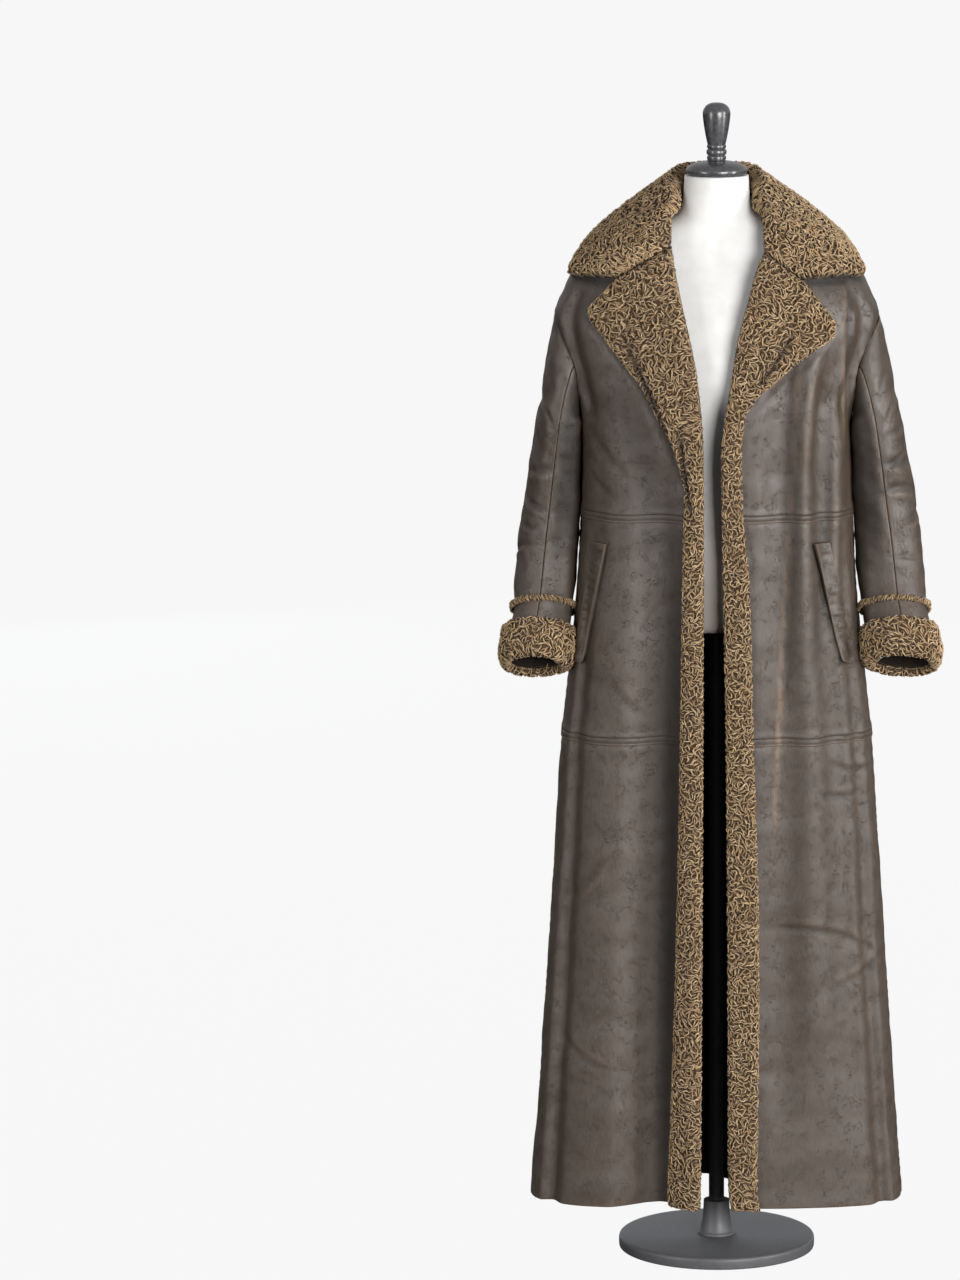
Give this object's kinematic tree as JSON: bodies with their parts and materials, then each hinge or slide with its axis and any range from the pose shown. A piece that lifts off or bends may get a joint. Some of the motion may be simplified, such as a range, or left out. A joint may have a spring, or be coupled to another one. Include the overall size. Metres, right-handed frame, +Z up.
{
  "type": "faux shearling coat on a limbless dress form",
  "caption": "Ankle-length open coat with a wide pile collar, lapels and cuffs, worn on a limbless dress form with a round stand.",
  "frame": {"origin": "centre of the round base's underside", "axes": "+Z up along the pole, the coat's open front faces -Y, the wearer's left is +X"},
  "size_m": [0.6728, 0.302, 1.7669],
  "materials": {
    "leather": "satin faux leather",
    "pile": "curly pile",
    "torso_cover": "white stretched cover",
    "black_metal": "satin black",
    "black_lacquer": "black lacquer"
  },
  "bodies": {
    "root": {"back_lower_left": "leather", "back_lower_right": "leather", "back_middle_left": "leather", "back_middle_right": "leather", "back_upper_left": "leather", "back_upper_right": "leather", "back_yoke": "leather", "base_disc": "black_metal", "centre_back_trim": "pile", "collar": "pile", "cuff_trim_left": "pile", "cuff_trim_right": "pile", "finial": "black_lacquer", "front_lower_left": "leather", "front_lower_right": "leather", "front_middle_left": "leather", "front_middle_right": "leather", "front_upper_left": "leather", "front_upper_right": "leather", "lapel_and_band_left": "pile", "lapel_and_band_right": "pile", "neck_cap": "black_lacquer", "pile_cuff_left": "pile", "pile_cuff_right": "pile", "pocket_welt_left": "leather", "pocket_welt_right": "leather", "pole": "black_metal", "pole_socket": "black_metal", "top_cuff_band_left": "leather", "top_cuff_band_right": "leather", "top_sleeve_left": "leather", "top_sleeve_right": "leather", "torso": "torso_cover", "under_cuff_band_left": "leather", "under_cuff_band_right": "leather", "under_sleeve_left": "leather", "under_sleeve_right": "leather", "yoke_trim": "pile"}
  },
  "joints": []
}
